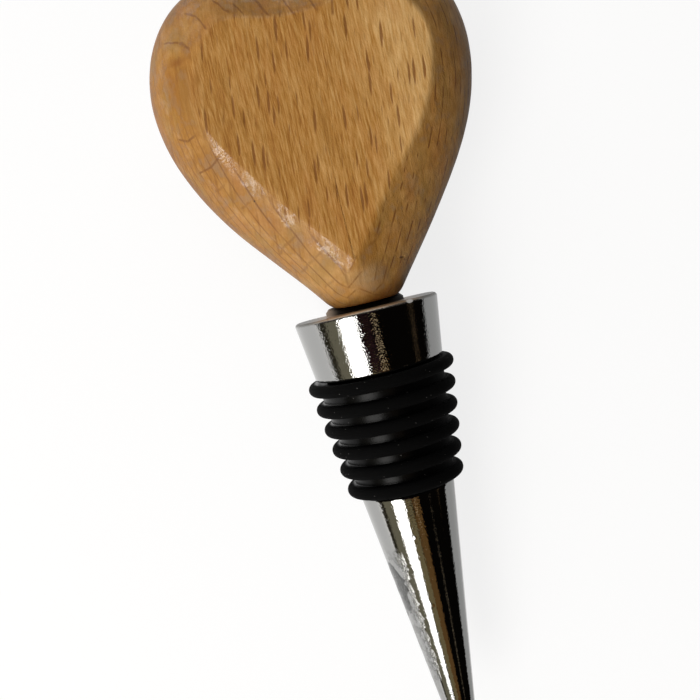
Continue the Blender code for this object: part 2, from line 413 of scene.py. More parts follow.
def heartPoints(sizes):
    # rows run from the front face's middle over the rim and side to the back's middle
    s = sizes
    ring, inward = heartRing(s)
    inner = creaseRing(ring, inward, s)
    crisp = rimSection(s, s["crispAngle"], s["crispCrease"])
    soft = rimSection(s, s["softAngle"], s["softCrease"])
    count = min(len(crisp), len(soft))
    share = np.linspace(0, 1, count)
    crisp, soft = (
        np.stack([np.interp(share, np.linspace(0, 1, len(rows)), rows[:, k]) for k in range(2)], 1)
        for rows in (crisp, soft)
    )
    softness = 1 - smoothStep(ring[:, 0], *s["softToRight"])
    softness = softness[None, :] * (1 - smoothStep(ring[:, 1], *s["softToTop"]))[None, :]
    inset = crisp[:, :1] * (1 - softness) + soft[:, :1] * softness
    height = crisp[:, 1:] * (1 - softness) + soft[:, 1:] * softness
    plane = ring[None] + (inner - ring)[None] * inset[:, :, None]
    top = halfThick / mm

    middle = np.array([0.0, s["faceMiddle"]])
    shrink = np.linspace(1, 0, s["faceRings"] + 1)[1:-1][:, None, None]
    face = middle + (plane[-1] - middle)[None] * shrink
    front = np.concatenate([plane, face])
    level = np.concatenate([height, np.full(face.shape[:2], top)])
    rows = np.concatenate([front[::-1], front[1:]])
    levels = np.concatenate([level[::-1], -level[1:]])

    x, y = rows[..., 0], rows[..., 1]
    away = np.clip(np.abs(x) + np.abs(y - s["faceMiddle"]), 0, 1)
    wave = handWave(x, y, levels) * s["handUnevenness"] * away
    rimPart = smoothStep(top - np.abs(levels), 0, 1.0)
    x = x + wave * rimPart * 0.6
    levels = levels - np.sign(levels) * np.abs(wave) * (0.25 + rimPart)
    x = x + s["tipShift"] * (1 - smoothStep(y, *s["shiftFade"]))
    # a smooth floor at the seat, on the boss: y = edge x ln(1 + e^((y + drop) / edge)) - drop
    edge, drop = s["seatEdge"], s["seatDrop"]
    y = edge * np.logaddexp(0, (y + drop) / edge) - drop
    return np.stack([x * mm, seatY + y * mm, middleZ + levels * mm], 2), middle


def drillHole(obj, sizes):
    # the stud's blind hole, cut with a pointed turned drill, and the cut made real
    depth, r = seatY + sizes["holeDepth"] * mm, sizes["holeRadius"] * mm
    outline = [(0, seatY - r), (r, seatY - r), (r, depth), (0, depth + 0.6 * r)]
    drill = turnedObject("stud_drill", outline, sizes["holeSides"])
    cut = obj.modifiers.new("Stud hole", "BOOLEAN")
    cut.operation, cut.solver, cut.object = "DIFFERENCE", "EXACT", drill
    graph = bpy.context.evaluated_depsgraph_get()
    mesh = bpy.data.meshes.new_from_object(obj.evaluated_get(graph))
    obj.modifiers.clear()
    obj.data = mesh
    bpy.data.objects.remove(drill)


def buildHeart():
    points, middle = heartPoints(heartSizes)
    ends = [(middle[0] * mm, seatY + middle[1] * mm, middleZ + side * halfThick) for side in (1, -1)]
    heart = surfaceObject("heart_wood", points, poles=ends)
    drillHole(heart, heartSizes)
    heart.data.shade_smooth()
    dressPiece(heart, beechFinish(), "heart_handle")


beechLook = {
    "palest": (0.740, 0.480, 0.210), "pale": (0.600, 0.335, 0.112),
    "middle": (0.440, 0.205, 0.042), "deep": (0.300, 0.118, 0.019),
    "red": (0.440, 0.170, 0.042), "olive": (0.370, 0.205, 0.052), "fleck": (0.215, 0.078, 0.016),
    "ring": (0.215, 0.082, 0.020), "stain": (0.300, 0.115, 0.022), "dull": (0.430, 0.310, 0.185),
    # the hole colour is painted shade, for the inside of the pinhole and the nick
    "hole": (0.030, 0.012, 0.004),
    "grainTurn": 0.02, "fleckTurn": 0.135, "ringSpacing": 1.35, "cup": 0.0175, "roughness": 0.46,
    "knotSpacing": 3.7, "knotFirst": 2.2, "scratchWidth": 0.34, "rimLineWidth": 0.44,
    # how strongly each pattern shows
    "fineTone": 1.30, "bandTone": 0.28, "broadTone": 0.15, "mottleTone": 0.80, "fleckTone": 0.86,
    "coat": 0.90, "coatIor": 1.8,
    # relief, in metres
    "fineHeight": 0.000035, "lumpHeight": 0.000055, "sandingHeight": 0.00018,
    "fleckDepth": 0.00003, "nickDepth": 0.0002,
    # marks: where, as x and height above the seat and above the middle plane, and how far they reach
    "smudge": ((-17.3, 37.6, 9.7), (2.3, 1.0, 3.0)),
    "halo": ((-17.4, 33.6, 9.6), (3.6, 6.0, 4.0)),
    "pinhole": ((-11.6, 17.2, 10.0), (0.24, 0.24, 1.5)),
    "nick": ((6.6, 5.0, 7.1), (0.55, 0.22, 1.2)),
    "rub": ((1.6, 2.9, 9.6), (4.4, 3.6, 5.0)),
    "sheenLeft": ((-14.5, 24.6, 10.6), (3.0, 4.9, 2.6)),
    "sheenTip": ((-3.1, 8.0, 10.5), (2.0, 2.7, 2.4)),
}


# old scratches round the tip, each from x, y to x, y above the seat
tipScratches = (
    (0.1, 6.7, -1.2, 4.9),
    (0.3, 4.4, -2.0, 2.5),
    (2.8, 5.0, 2.0, 2.9),
    (4.5, 5.3, 3.1, 2.3),
    (-2.3, 1.2, -1.0, 2.0),
    (-0.4, 2.0, 2.0, 0.6),
    (1.5, 1.2, 2.9, 2.1),
    (-2.7, 7.1, -2.1, 4.5),
    (6.5, 6.0, 6.2, 4.9),
    (6.2, 4.9, 7.0, 4.6),
)


# growth lines that the upper rim and the left lobe cut through, given the same way
rimLines = (
    (-11.5, 44.7, -9.8, 42.2),
    (-8.9, 43.3, -8.1, 41.6),
    (-6.1, 43.7, -4.5, 40.7),
    (-2.5, 42.9, -1.1, 39.8),
    (0.9, 42.0, 1.9, 40.0),
    (4.1, 40.9, 3.9, 39.0),
    (-15.7, 43.8, -14.3, 42.7),
    (-14.3, 42.7, -13.1, 40.7),
    (-19.3, 40.5, -17.1, 40.0),
    (-17.1, 40.0, -16.0, 38.7),
    (-20.4, 27.4, -19.1, 26.8),
    (-19.1, 26.8, -18.0, 27.2),
    (-18.8, 22.3, -16.6, 22.8),
    (-16.6, 22.8, -15.2, 23.8),
)


def scratched(f, place, scratches, width):
    # 1 along each scratch, from the distances beside its line and beyond its ends
    x, y = place
    halfWidth = width / 2
    mask = None
    for ax, ay, bx, by in scratches:
        length = math.hypot(bx - ax, by - ay)
        wayX, wayY = (bx - ax) / length, (by - ay) / length
        along = (x - ax) * wayX + (y - ay) * wayY
        aside = ((x - ax) * wayY - (y - ay) * wayX).absolute()
        beyond = (along - length / 2).absolute() - length / 2
        line = f.step(aside, halfWidth, halfWidth * 0.3) * f.step(beyond, 0.35, -0.25)
        mask = line if mask is None else mask.atLeast(line)
    return mask


def woodColour(f, place, rim, right, broad, fibres):
    # from deep to pale with the tone of the fibres, with red, olive and mottled patches
    look, (x, y, z) = beechLook, place
    # the wood is paler on the right of the face, a little paler everywhere but on the upper rim, and deeper
    # on the left side wall and the left rim; the lower left rim carries painted light and the right rim
    # painted shade
    palerAndPaintedLight = f.step(x, 1, 14) * (1 - rim * 0.35) * 0.36
    # painted light: the lower left rim, on the side the light comes from, is painted paler
    palerAndPaintedLight = palerAndPaintedLight + rim * f.step(x, 3, -3) * (f.step(y, 27, 12) * 0.09 + f.step(y, 12, 5) * 0.10)
    palerAndPaintedLight = palerAndPaintedLight + (1 - rim * f.step(y, 42, 36)) * 0.03
    # painted shade: the right rim, on the side away from the light, is painted deeper by the second term
    deeperAndPaintedShade = f.step(z.absolute(), 8, 2) * f.step(x, 0, -8) * 0.28 + rim * f.step(x, 8, 14) * 0.15
    deeperAndPaintedShade = deeperAndPaintedShade + rim * (1 - right) * 0.05
    # the hand-sanded rims are mottled
    mottle = f.noiseAt((0.50, 0.36, 0.50), detail=4.0, roughness=0.62)
    patchy = broad * look["broadTone"] + (mottle - 0.5) * rim * look["mottleTone"]
    tone = (fibres + patchy + palerAndPaintedLight - deeperAndPaintedShade) * 0.8 + 0.45
    stops = [(0.26, look["deep"]), (0.45, look["middle"]), (0.71, look["pale"]), (1.0, look["palest"])]
    colour = f.node("ShaderNodeValToRGB", {"stops": stops}, {0: tone}).outputs[0]
    blush = f.noiseAt((0.40, 0.12, 0.4), turn=(0, 0, 0.05), detail=2.0)
    colour = f.mix(f.step(blush, 0.50, 0.70) * (0.20 + rim * 0.15), colour, look["red"])
    colour = f.mix(f.step(blush, 0.47, 0.30) * (0.16 + rim * 0.34), colour, look["olive"])
    return f.mix(f.step(mottle, 0.48, 0.34) * rim * 0.30, colour, look["dull"])


def growthRings(f, place, rim, right, wander, wave):
    # cupped sheets that show as thin lines where the rims cut them, broken into dashes on the right
    look, (x, y, z) = beechLook, place
    sheet = z - x * x * look["cup"] + wander * 1.3
    away = ((sheet / look["ringSpacing"]).fraction() - 0.5).absolute()
    line = f.step(away, 0.12, 0.02)
    dashes = f.step(f.noiseAt((1.1, 0.30, 0.8), detail=1.0), 0.49, 0.60)
    patches = f.step(f.noiseAt((0.15, 0.12, 0.2), detail=1.0), 0.30, 0.62)
    strength = (0.30 + patches * 0.45) * f.step(y, 33, 22) * (1 - right)
    strength = strength + (0.06 + dashes * 0.90) * right * f.step(y, 42, 36)
    plainTip = f.step(x, -3.5, -0.6) * f.step(y, 13, 7) * f.step(x, 4.5, 2.5)
    # rings round a knot in the left lobe cross the rims as arcs and short dashes
    knotX, knotY = f.axes(f.place(start=look["smudge"][0]))[:2]
    reach = (knotX * knotX + knotY * knotY) ** 0.5 + wave * 1.4 + (z.absolute() - halfThick / mm) * 0.25
    knotAway = ((reach - look["knotFirst"]) / look["knotSpacing"] + 0.5).fraction() - 0.5
    broken = f.step(f.noiseAt((0.34, 0.34, 0.34), detail=1.0), 0.44, 0.54)
    knotLine = f.step(knotAway.absolute(), 0.085, 0.010) * broken * f.step(x, 15, 9)
    knotLine = knotLine * (f.step(reach, 13, 16) * 0.36).atLeast(f.step(knotY, -1.0, 1.5) * 0.22)
    return (line * strength * (1 - plainTip)).atLeast(knotLine) * rim


def rayFlecks(f, rim, wave, fine):
    # dark spindles with soft ends, and small dashes; the rays run on into the wood
    x, y, z = f.axes(f.place(turn=(0, 0, beechLook["fleckTurn"])))
    drift = x + z * 0.10 + wave * 0.6 + fine * 0.20
    distance, chance = f.cells(f.join(drift * 1.50, y * 0.165, 0.0))
    spindle = f.step(distance - f.step(chance, 0.42, 1.0) * 0.33, 0.05, -0.13) * (0.40 + chance * 0.60)
    smallDistance, smallChance = f.cells(f.join(drift * 2.8, y * 0.36, 0.0))
    dash = f.step(smallDistance - f.step(smallChance, 0.45, 1.0) * 0.30, 0.06, -0.14) * 0.32
    return spindle.atLeast(dash) * (1 - rim * 0.65)


def usedColour(f, colour, place, wave, fine, nick):
    # marks of use: an orange smudge, a pinhole, a nick, a rubbed dull tip and scratches,
    # and growth lines that the rims cut through
    look, (x, y, z) = beechLook, place
    smudge = (f.spot(*look["smudge"]) * 0.95).atLeast(f.spot(*look["halo"]) * 0.45)
    colour = f.mix(smudge, colour, look["stain"])
    # the pinhole and the nick are painted near black: painted shade inside them
    colour = f.mix(f.spot(*look["pinhole"]).atLeast(nick) * 0.85, colour, look["hole"])
    rubbed = f.spot(*look["rub"]) * f.noiseAt((0.9, 0.9, 0.9), detail=3.0)
    colour = f.mix(rubbed * 1.1, colour, look["dull"])
    front = f.step(z, 2, 4)
    cuts = scratched(f, (x + wave * 0.5, y + wave * 0.4), tipScratches, look["scratchWidth"]) * front
    colour = f.mix(cuts * f.step(fine, -0.30, 0.10) * 0.62, colour, look["fleck"])
    grown = scratched(f, (x + wave * 1.2, y + wave * 0.8), rimLines, look["rimLineWidth"]) * front
    return f.mix(grown * (0.48 + f.step(fine, -0.30, 0.20) * 0.34), colour, look["ring"])


def varnishCoat(f, z):
    # the varnish shines in specks, and most along the lower left crease, which use has polished
    coat = f.step(f.noiseAt((1.1, 0.7, 1.1), detail=4.0, roughness=0.7), 0.44, 0.60)
    coat = coat * f.step(f.noiseAt((0.26, 0.26, 0.26), detail=1.0), 0.38, 0.54)
    crumbs = f.step(f.noiseAt((4.4, 3.2, 4.4), detail=3.0, roughness=0.7), 0.46, 0.62)
    polished = f.spot(*beechLook["sheenLeft"]).atLeast(f.spot(*beechLook["sheenTip"]) * 0.62)
    return (coat * f.step(z.absolute(), 5.5, 8.5) * 0.50).atLeast(polished * crumbs)


def beechFinish():
    look = beechLook
    f = Finish("varnished_beech", (0, seatY, middleZ))
    top = halfThick / mm
    place = x, y, z = f.axes(f.place(turn=(0, 0, look["grainTurn"])))
    rim = f.step(z.absolute(), top - 0.06, top - 0.55)
    right = f.step(x, -3, 5)
    # slow wander of the grain
    wander = f.noiseAt((0.10, 0.035, 0.10), detail=2.0) - 0.5
    wave = f.noiseAt((0.45, 0.15, 0.3), detail=2.0) - 0.5
    grainX = x + wander * 0.9 + wave * 0.25
    # fibres: thin wavy streaks along the grain at three widths, faint on the rims
    fine = f.noise(f.join(grainX * 4.2, y * 0.34, z * 0.6), detail=3.0, roughness=0.62) - 0.5
    band = f.noise(f.join(grainX * 1.9, y * 0.12, z * 0.4 + 7), detail=2.0, roughness=0.6) - 0.5
    broad = f.noise(f.join(grainX * 0.22, y * 0.05, z * 0.12 + 3), detail=1.0) - 0.5
    fibres = (fine * look["fineTone"] + band * look["bandTone"]) * (1 - rim * 0.72)

    colour = woodColour(f, place, rim, right, broad, fibres)
    colour = f.mix(growthRings(f, place, rim, right, wander, wave), colour, look["ring"])
    flecks = rayFlecks(f, rim, wave, fine)
    colour = f.mix(flecks * look["fleckTone"], colour, look["fleck"])
    nick = f.spot(*look["nick"])
    colour = usedColour(f, colour, place, wave, fine, nick)

    # roughness and relief: the varnish is lumpy
    gloss = f.noiseAt((0.5, 0.3, 0.5), detail=3.0)
    roughness = look["roughness"] + (gloss - 0.5) * 0.18 + flecks * 0.10
    lumps = f.noiseAt((4.2, 3.2, 4.2), detail=3.0, roughness=0.65)
    sanding = f.noiseAt((0.6, 0.35, 0.6), detail=1.0)
    height = fine * look["fineHeight"] + lumps * look["lumpHeight"] + sanding * look["sandingHeight"]
    height = height - flecks * look["fleckDepth"] - nick * look["nickDepth"]
    return f.surface(
        Base_Color=colour, Roughness=roughness, Normal=f.bump(height),
        Coat_Weight=0.03 + varnishCoat(f, z) * look["coat"], Coat_Roughness=0.10, Coat_IOR=look["coatIor"],
        Specular_IOR_Level=0.25,
    )


# Turned metal body

bodySizes = {
    "collarRadius": 10.8, "collarDepth": 8.9, "collarEdge": 0.5, "length": 65.0, "taper": 7.6,
    "bossRadius": 5.85, "bossEdge": 0.45, "holeRadius": 3.3, "holeDepth": 14.3,
    "sleeveWall": 1.2, "gap": 0.3, "sleeveLength": 17.85, "spacing": 0.30, "sides": 256,
    "drillPoint": 2, "bossFoot": 0.15, "grooveEdge": 0.12,
    # the slant of the top, and the heights over which it fades in and out
    "topSlant": 0.050, "slantFrom": (-8.4, -0.5), "slantTo": (0.2, 0.9),
}


def taperRadius(depth, sizes):
    # the straight cone that the collar, the sleeve's valleys and the point share
    return sizes["collarRadius"] - depth * math.tan(math.radians(sizes["taper"]))


def filled(points, spacing):
    # extra points along the straight runs of a profile, ends and corners kept
    points = np.array(points, float)
    runs = [points[:1]]
    for a, b in zip(points[:-1], points[1:]):
        steps = max(int(np.linalg.norm(b - a) / spacing), 1)
        runs.append(a + (b - a) * np.linspace(0, 1, steps + 1)[1:, None])
    return np.concatenate(runs)


def bodyProfile(s):
    # down the stud's hole, over the boss and the collar, into the groove and down to the point
    lean = math.radians(s["taper"])
    edge = s["collarEdge"]
    grooveEnd = s["collarDepth"] + s["sleeveLength"] + 2 * s["gap"]
    floor = s["sleeveWall"] + s["gap"]
    tipRadius = taperRadius(s["length"], s) / (1 / math.cos(lean) - math.tan(lean))
    boss = bossHeight / mm
    bore, boreDepth, foot, chamfer = s["holeRadius"], s["holeDepth"], s["bossFoot"], s["grooveEdge"]
    profile = [(0, -boreDepth - s["drillPoint"]), (bore, -boreDepth), (bore, boss)]
    profile += [(s["bossRadius"] - s["bossEdge"], boss), (s["bossRadius"], boss - s["bossEdge"])]
    profile += [(s["bossRadius"], foot), (s["bossRadius"] + foot, 0)]
    edgeCentre = (taperRadius(edge, s) - edge / math.cos(lean), -edge)
    profile += arcPoints(edgeCentre, edge, math.pi / 2, -lean, 12).tolist()
    for depth, side in ((s["collarDepth"], 1), (grooveEnd, -1)):
        r, before = taperRadius(depth, s), depth - chamfer * side
        corner = [(taperRadius(before, s), -before), (r - chamfer, -depth), (r - floor, -depth)]
        profile += corner[::side]
    tip = arcPoints((0, tipRadius - s["length"]), tipRadius, -lean, -math.pi / 2, 24)
    profile = filled(np.concatenate([profile, tip]), s["spacing"])
    return profile * mm + (0, collarY)


def slantedTop(points):
    # the casting's top is a little higher at the front: y + slant x z x the root of |z| / radius,
    # in full on the top face and fading out down the collar and up the boss;
    # the radius follows, so that the collar's side stays on the cone
    level = (points[..., 1] - collarY) / mm
    height = points[..., 2] - middleZ
    radius = np.maximum(np.hypot(points[..., 0], height), mm)
    s = bodySizes
    share = smoothStep(level, *s["slantFrom"]) * (1 - smoothStep(level, *s["slantTo"]))
    share = share * (radius / mm > s["holeRadius"] + 1)
    shift = s["topSlant"] * height * np.sqrt(np.abs(height) / mm / s["collarRadius"]) * share
    kept = 1 - shift * math.tan(math.radians(s["taper"])) / radius
    return np.stack([points[..., 0] * kept, points[..., 1] + shift, middleZ + height * kept], 2)


def buildBody():
    body = turnedObject("chromed_body", bodyProfile(bodySizes), bodySizes["sides"], bend=slantedTop)
    dressPiece(body, chromeFinish(), "stopper_body")


chromeLook = {
    # the colours for the collar's top are a painted reflection of the wood above it
    "plate": (0.375, 0.375, 0.367), "scuff": (0.200, 0.196, 0.185), "top": (0.42, 0.29, 0.18),
    # the bright speck colour is a painted highlight on the collar's front edge
    "dustSpeckAndGlint": (0.85, 0.85, 0.83), "glintSpot": ((6.2, 0.17, 8.75), (1.15, 0.50, 0.8)),
    # the colours for the step under the wood are painted shade, lighter at its left end
    "step": (0.022, 0.018, 0.014), "stepLitEnd": (0.40, 0.31, 0.23),
    "topRightReflection": (0.105, 0.098, 0.084), "topLeftReflection": (0.070, 0.064, 0.050),
    "bare": (0.150, 0.150, 0.146), "bareSpot": ((-4.9, -42.0, 1.8), (2.6, 7.0, 4.0)), "roughness": 0.030,
    # relief, in metres
    "peelHeight": 0.0000115, "collarPeel": 0.0000090, "crinkleHeight": 0.00022, "rippleHeight": 0.000012,
    "scuffHeight": 0.00006, "pitDepth": 0.00002,
}


# small blisters in the cone's plating: x and y from the collar's top, radius, height in micrometres
blisters = (
    (-0.75, -44.8, 0.55, 45.0),
    (-2.70, -32.3, 0.45, 28.0),
    (-0.78, -33.8, 0.32, 20.0),
    (-2.14, -38.7, 0.45, 28.0),
)


def blisterHeight(f):
    # one soft dome for each blister, on the front of the cone
    height = 0.0
    for x, y, radius, rise in blisters:
        z = math.sqrt(taperRadius(-y, bodySizes) ** 2 - x * x)
        dome = f.spot((x, y, z), (radius, radius * 1.3, 1.0))
        height = dome * (rise * 1e-6) + height
    return height


def chromeFinish():
    look = chromeLook
    f = Finish("scuffed_chrome", collarPlace)
    x, y, z = f.axes(f.place())
    level = y - z * (z.absolute() / bodySizes["collarRadius"]) ** 0.5 * bodySizes["topSlant"]
    # fine orange peel that frays the edges of what the metal mirrors
    peel = f.noiseAt((4.0, 6.2, 4.0), detail=0.0)
    ripple = f.noiseAt((0.45, 0.8, 0.45), detail=1.0)
    # the scuffed stretch on the left of the cone
    along = f.step(y, -34, -38) * f.step(y, -62, -56)
    leftSide = f.step(x + z * 0.25, -1.2, -2.3)
    blotch = f.noiseAt((0.75, 0.60, 0.75), detail=4.0, roughness=0.65)
    scuff = along * leftSide * f.step(blotch, 0.46, 0.55)
    # the plating has crinkled along a streak, at a place given as a share of the cone's radius
    aside = x / (y * math.tan(math.radians(bodySizes["taper"])) + bodySizes["collarRadius"])
    streak = f.step((aside + 0.64 + (blotch - 0.5) * 0.30).absolute(), 0.11, 0.04) * f.step(z, 0.0, 0.5)
    streak = streak * f.step(y, -35, -38) * f.step(y, -58, -54)
    crinkle = f.noiseAt((3.0, 2.2, 3.0), detail=2.0) * streak
    pitDistance, pitChance = f.cells(f.place((1.6, 1.6, 1.6)), "3D")
    pits = f.step(pitDistance, 0.16, 0.08) * f.step(pitChance, 0.70, 0.74) * f.step(y, -30, -40) * leftSide
    # the collar's top is duller and carries a painted reflection of the wood; the step under the wood is
    # rougher, painted near black as painted shade and lighter at its left end
    reach = (x * x + z * z) ** 0.5
    topFace = f.step(level, -0.55, -0.05)
    stepSide = f.step(reach, 6.05, 5.95) * f.step(level, 0.0, 0.12)
    colour = f.mix(scuff * 0.35 + pits * 0.6, look["plate"], look["scuff"])
    # the plate has worn to a darker metal high on the cone's left side
    bare = f.step(f.spot(*look["bareSpot"]) + (blotch - 0.5) * 0.9, 0.22, 0.34)
    colour = f.mix(bare, colour, look["bare"])
    # painted reflection: the top is brown where it mirrors the wood, darker and greyer towards both ends
    paintedTopReflection = f.mix(f.step(x, -5.0, -9.0), look["top"], look["topLeftReflection"])
    paintedTopReflection = f.mix(f.step(x, 5.0, 9.0), paintedTopReflection, look["topRightReflection"])
    # painted shade: the step under the wood is near black for the shaded gap, with painted light at its left
    # end
    paintedStepShade = f.mix(f.step(x, -3.8, -5.6), look["step"], look["stepLitEnd"])
    colour = f.mix(stepSide, f.mix(topFace, colour, paintedTopReflection), paintedStepShade)
    # a painted highlight: a bright white spot on the collar's front edge
    dustSpeckAndGlint = f.step(f.spot(*look["glintSpot"]), 0.1, 0.5)
    colour = f.mix(dustSpeckAndGlint, colour, look["dustSpeckAndGlint"])
    roughness = look["roughness"] + scuff * 0.22 + pits * 0.3 + topFace * 0.34 + stepSide * 0.30
    metallic = 1 - (topFace * (1 - stepSide) * 0.60).atLeast(dustSpeckAndGlint * 0.95)
    height = peel * (look["peelHeight"] + f.step(y, -12, -8) * look["collarPeel"])
    height = height + crinkle * look["crinkleHeight"] + ripple * look["rippleHeight"]
    height = height + blotch * scuff * look["scuffHeight"] - pits * look["pitDepth"]
    height = height + blisterHeight(f)
    return f.surface(Base_Color=colour, Roughness=roughness, Metallic=metallic, Normal=f.bump(height))


# Moulded rubber sleeve

sleeveSizes = {
    "top": 9.2, "ribs": 6, "pitch": 3.2, "ribThickness": 1.85, "ribProjection": 1.56,
    "rootRound": 0.28, "spacing": 0.09, "sides": 256,
}


def sleeveProfile(s, body):
    # the bore, then each rib's flanks and full round, with soft roots between them
    bottom = s["top"] + (s["ribs"] - 1) * s["pitch"] + s["ribThickness"]
    half = s["ribThickness"] / 2
    outer = []
    for rib in range(s["ribs"]):
        depth = s["top"] + half + rib * s["pitch"]
        outer += [(taperRadius(depth - half, body), half - depth)]
        crown = (taperRadius(depth, body) + s["ribProjection"] - half, -depth)
        outer += arcPoints(crown, half, math.pi / 2, -math.pi / 2, 14).tolist()
        outer += [(taperRadius(depth + half, body), -half - depth)]
    outer = roundedCorners(outer, s["rootRound"], s["spacing"])
    top = [(taperRadius(s["top"], body) - body["sleeveWall"], -s["top"])]
    end = [(taperRadius(bottom, body) - body["sleeveWall"], -bottom)]
    profile = np.concatenate([top, outer, end])
    return profile * mm + (0, collarY)


def buildSleeve():
    profile = sleeveProfile(sleeveSizes, bodySizes)
    sleeve = turnedObject("rubber_sleeve", profile, sleeveSizes["sides"], wrapRows=True)
    dressPiece(sleeve, rubberFinish(), "sealing_sleeve")


rubberLook = {
    "black": (0.0011, 0.0011, 0.0012), "dust": (0.14, 0.135, 0.13),
    "valleyRoughness": 0.28, "crownRoughness": 0.95,
    # relief, in metres
    "grainHeight": 0.000012, "dustHeight": 0.00002,
}


def rubberFinish():
    look = rubberLook
    f = Finish("dusty_rubber", collarPlace)
    distance, chance = f.cells(f.place((1.3, 1.3, 1.3)), "3D")
    dustSpeckAndGlint = f.step(distance, 0.11, 0.05) * f.step(chance, 0.38, 0.42)
    lintDistance, lintChance = f.cells(f.place((0.35, 1.6, 1.2), turn=(0.3, 0.2, 0.5)), "3D")
    lint = f.step(lintDistance, 0.07, 0.03) * f.step(lintChance, 0.7, 0.75)
    haze = f.noiseAt((0.5, 0.5, 0.5), detail=3.0)
    dust = dustSpeckAndGlint.atLeast(lint) * 0.85
    colour = f.mix(dust + haze * 0.003, look["black"], look["dust"])
    # valleys are smooth from the mould, and the crowns and the right side are worn matt
    x, y, z = f.axes(f.place())
    cone = y * math.tan(math.radians(bodySizes["taper"])) + bodySizes["collarRadius"]
    crown = f.step((x * x + z * z) ** 0.5 - cone, 0.15, 0.75)
    worn = crown.atLeast(f.step(x, 2.0, 6.0) * 0.7)
    roughness = f.mixNumber(worn, look["valleyRoughness"], look["crownRoughness"]) + (haze - 0.5) * 0.12
    height = f.noiseAt((4, 4, 4), detail=2.0) * look["grainHeight"] + dust * look["dustHeight"]
    return f.surface(Base_Color=colour, Roughness=roughness, Normal=f.bump(height), Specular_IOR_Level=0.125)


# Threaded stud

studSizes = {
    "radius": 3.0, "pitch": 1.0, "threadDepth": 0.55, "endTaper": 1.2, "endDrop": 0.7,
    "rows": 420, "sides": 40,
}
studLook = {"dark": (0.45, 0.45, 0.46), "pale": (0.62, 0.61, 0.58), "roughness": 0.28}


def buildStud():
    # radius = outer radius less a V whose place follows y / pitch - angle / turn,
    # and less a round nose at both ends
    s = studSizes
    low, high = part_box("threaded_stud")
    y = np.linspace(low.y, high.y, s["rows"])[:, None]
    angle = np.linspace(0, math.tau, s["sides"], endpoint=False)[None, :]
    phase = ((y / mm) / s["pitch"] - angle / math.tau) % 1.0
    vee = np.abs(2 * phase - 1)
    fromEnd = np.minimum(y - low.y, high.y - y) / mm
    nose = (1 - smoothStep(fromEnd, 0, s["endTaper"])) * s["endDrop"]
    r = (s["radius"] - s["threadDepth"] * vee - nose) * mm
    points = np.stack([r * np.sin(angle), y + 0 * r, middleZ + r * np.cos(angle)], 2)
    stud = surfaceObject("stud_thread", points, poles=[(0, low.y, middleZ), (0, high.y, middleZ)])
    f = Finish("zinc_steel", collarPlace)
    patch = f.noiseAt((0.8, 0.8, 0.8), detail=3.0)
    colour = f.mix(patch, studLook["dark"], studLook["pale"])
    steel = f.surface(Base_Color=colour, Roughness=studLook["roughness"] + patch * 0.15, Metallic=1.0)
    dressPiece(stud, steel, "threaded_stud")


# Floor, lamps and camera

studio = {
    "floorSize": 12.0, "floorGrey": 0.18, "floorLift": 0.83, "lampReach": (0.25, 1.1),
    "worldColour": (0.0035, 0.0028, 0.0022), "tentRadius": 1.5, "tentRows": 12, "tentColumns": 48,
    "cardNear": 0.012, "cardFar": 0.088, "cardFoot": 0.0002, "cardTop": 0.032, "cardHalf": 0.14,
    # the grey card's glow is a painted shadow of the floor on the shadow side
    "cardShadowGrey": 0.57,
}
seenRays = ("Is Camera Ray", "Is Glossy Ray", "Is Transmission Ray")


# each lamp: direction towards it from the collar, distance, width, length, radiance, colour, mirrored
lamps = {
    "window": ((-0.532, -0.382, 0.764), 0.60, 0.30, 0.48, 5.50, (1.0, 0.985, 0.955), True),
    "sideLight": ((-0.66, -0.60, 0.45), 0.60, 0.50, 0.60, 1.48, (1.0, 0.985, 0.955), False),
    "topLight": ((-0.42, 0.45, 0.79), 0.70, 0.60, 0.60, 1.35, (1.0, 0.98, 0.95), False),
    "backFill": ((-0.15, 0.86, 0.48), 0.80, 1.40, 0.60, 0.80, (1.0, 0.97, 0.93), True),
    "wall": ((-0.775, -0.457, 0.436), 0.70, 0.31, 0.52, 0.27, (1.0, 0.92, 0.64), True),
    "wallFoot": ((-0.90, -0.42, 0.14), 0.70, 0.10, 0.60, 0.05, (1.0, 0.88, 0.55), True),
    "horizon": ((-0.90, -0.42, 0.03), 0.60, 0.045, 0.40, 1.15, (1.0, 0.98, 0.95), True),
    "shelfLeft": ((-0.146, -0.625, 0.77), 0.70, 0.19, 0.24, 0.28, (1.0, 0.80, 0.40), True),
    "shelfRight": ((0.133, -0.62, 0.775), 0.70, 0.20, 0.24, 0.19, (1.0, 0.52, 0.17), True),
    "plumBand": ((-0.13, -0.37, 0.92), 0.72, 0.22, 0.15, 0.032, (1.0, 0.40, 0.46), True),
    "tanLine": ((0.13, -0.40, 0.91), 0.70, 0.046, 0.14, 0.80, (1.0, 0.75, 0.45), True),
    "dimLineA": ((0.585, -0.63, 0.52), 0.70, 0.030, 0.14, 0.16, (1.0, 0.80, 0.55), True),
    "dimLineB": ((0.91, -0.29, 0.28), 0.70, 0.036, 0.24, 0.10, (1.0, 0.66, 0.36), True),
}


